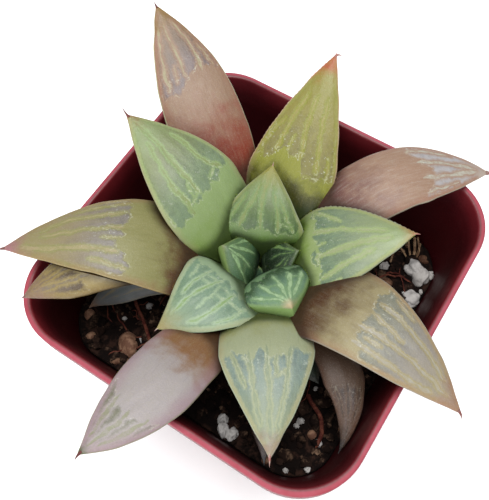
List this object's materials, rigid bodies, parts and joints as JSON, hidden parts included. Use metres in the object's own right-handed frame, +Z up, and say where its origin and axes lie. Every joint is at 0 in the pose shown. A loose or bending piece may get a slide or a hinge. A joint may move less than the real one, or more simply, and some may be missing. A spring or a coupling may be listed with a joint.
{
  "type": "potted windowed haworthia",
  "caption": "Rosette of thick pointed succulent leaves with see-through windows, in a small square tapered plastic nursery pot of potting mix",
  "frame": {"origin": "middle of the pot's flat underside", "axes": "+Z up; X and Y along the pot's sides"},
  "size_m": [0.0874, 0.0867, 0.0813],
  "materials": {
    "pot_plastic": "satin moulded",
    "soil_mix": "rough, crumbly",
    "stem_bark": "rough",
    "leaf_young": "satin, see-through windows",
    "leaf_grown": "satin, see-through windows",
    "leaf_outer": "satin, see-through windows",
    "leaf_old": "dull"
  },
  "bodies": {
    "root": {"pot": "pot_plastic", "soil": "soil_mix", "stem": "stem_bark", "leaf_01": "leaf_young", "leaf_02": "leaf_young", "leaf_03": "leaf_young", "leaf_04": "leaf_young", "leaf_05": "leaf_grown", "leaf_06": "leaf_grown", "leaf_07": "leaf_grown", "leaf_08": "leaf_grown", "leaf_09": "leaf_grown", "leaf_10": "leaf_grown", "leaf_11": "leaf_outer", "leaf_12": "leaf_outer", "leaf_13": "leaf_outer", "leaf_14": "leaf_outer", "leaf_15": "leaf_outer", "leaf_16": "leaf_old", "leaf_17": "leaf_old", "leaf_18": "leaf_old", "leaf_19": "leaf_old", "leaf_20": "leaf_old"}
  },
  "joints": []
}
